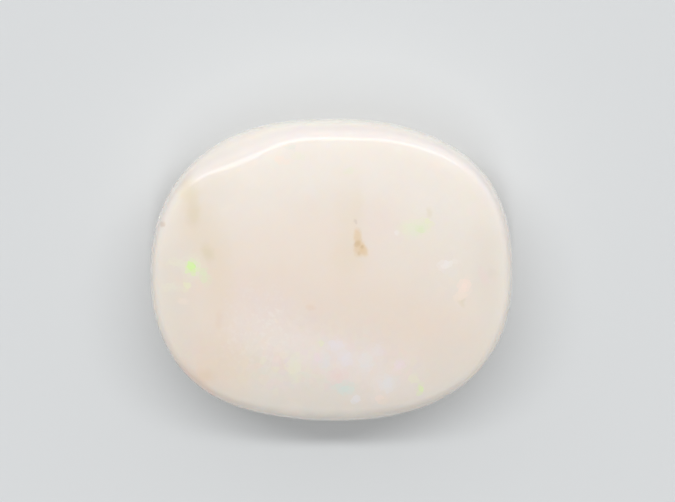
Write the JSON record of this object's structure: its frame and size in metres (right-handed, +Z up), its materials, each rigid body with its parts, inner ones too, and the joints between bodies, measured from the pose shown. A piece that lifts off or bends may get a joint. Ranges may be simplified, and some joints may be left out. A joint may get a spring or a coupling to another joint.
{
  "type": "loose opal cabochon",
  "caption": "Loose white opal, a cushion-oval cabochon with a low polished dome and a flat back to rest on or set in a bezel.",
  "frame": {"origin": "middle of the flat back, on the surface that the stone lies on", "axes": "+X along the stone's length, +Y across its width, +Z up out of the back through the top of the dome"},
  "size_m": [0.012, 0.01, 0.004],
  "materials": {
    "opal": "polished milky opal, opaque to faintly translucent, with a few small flashes of colour"
  },
  "bodies": {
    "root": {"opal": "opal"}
  },
  "joints": []
}
